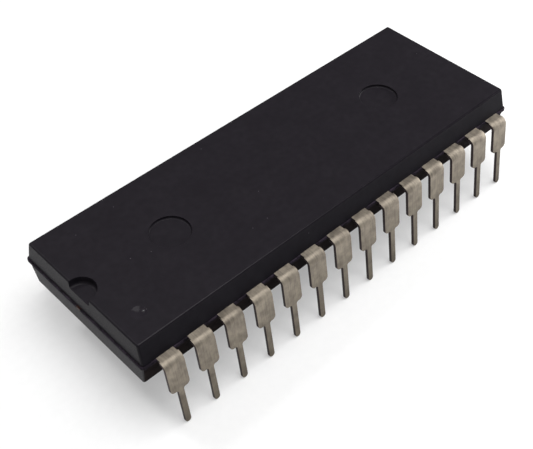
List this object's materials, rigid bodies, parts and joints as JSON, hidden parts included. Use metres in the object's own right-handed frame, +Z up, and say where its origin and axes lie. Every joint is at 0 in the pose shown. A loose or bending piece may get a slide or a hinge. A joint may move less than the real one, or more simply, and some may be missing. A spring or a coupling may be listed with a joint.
{
  "type": "dip integrated circuit chip",
  "caption": "Black moulded chip in dual in-line form: long flat body with an end notch and a pin 1 dimple, and a row of bent tinned leads with narrow pins along each long side.",
  "frame": {"origin": "middle of the footprint, on the plane that the pin tips stand on", "axes": "+X along the body away from the notched end, +Y across the rows away from lead 1's row, +Z up through the top face"},
  "size_m": [0.0368, 0.0164, 0.0076],
  "materials": {
    "moulding_compound": "satin-matt black epoxy moulding compound, spark-eroded mould face",
    "tinned_lead": "matt electroplated tin with fine lengthwise streaks",
    "bare_lead_frame": "bare copper alloy, cut end",
    "die_adhesive": "silver-filled epoxy",
    "silicon_die": "polished silicon",
    "gold_wire": "drawn gold"
  },
  "bodies": {
    "root": {"moulded_body": "moulding_compound", "die_pad": "bare_lead_frame", "die_adhesive": "die_adhesive", "die": "silicon_die", "lead_01": "tinned_lead", "lead_02": "tinned_lead", "lead_03": "tinned_lead", "lead_04": "tinned_lead", "lead_05": "tinned_lead", "lead_06": "tinned_lead", "lead_07": "tinned_lead", "lead_08": "tinned_lead", "lead_09": "tinned_lead", "lead_10": "tinned_lead", "lead_11": "tinned_lead", "lead_12": "tinned_lead", "lead_13": "tinned_lead", "lead_14": "tinned_lead", "lead_15": "tinned_lead", "lead_16": "tinned_lead", "lead_17": "tinned_lead", "lead_18": "tinned_lead", "lead_19": "tinned_lead", "lead_20": "tinned_lead", "lead_21": "tinned_lead", "lead_22": "tinned_lead", "lead_23": "tinned_lead", "lead_24": "tinned_lead", "lead_25": "tinned_lead", "lead_26": "tinned_lead", "lead_27": "tinned_lead", "lead_28": "tinned_lead", "bond_wire_01": "gold_wire", "bond_wire_02": "gold_wire", "bond_wire_03": "gold_wire", "bond_wire_04": "gold_wire", "bond_wire_05": "gold_wire", "bond_wire_06": "gold_wire", "bond_wire_07": "gold_wire", "bond_wire_08": "gold_wire", "bond_wire_09": "gold_wire", "bond_wire_10": "gold_wire", "bond_wire_11": "gold_wire", "bond_wire_12": "gold_wire", "bond_wire_13": "gold_wire", "bond_wire_14": "gold_wire", "bond_wire_15": "gold_wire", "bond_wire_16": "gold_wire", "bond_wire_17": "gold_wire", "bond_wire_18": "gold_wire", "bond_wire_19": "gold_wire", "bond_wire_20": "gold_wire", "bond_wire_21": "gold_wire", "bond_wire_22": "gold_wire", "bond_wire_23": "gold_wire", "bond_wire_24": "gold_wire", "bond_wire_25": "gold_wire", "bond_wire_26": "gold_wire", "bond_wire_27": "gold_wire", "bond_wire_28": "gold_wire"}
  },
  "joints": []
}
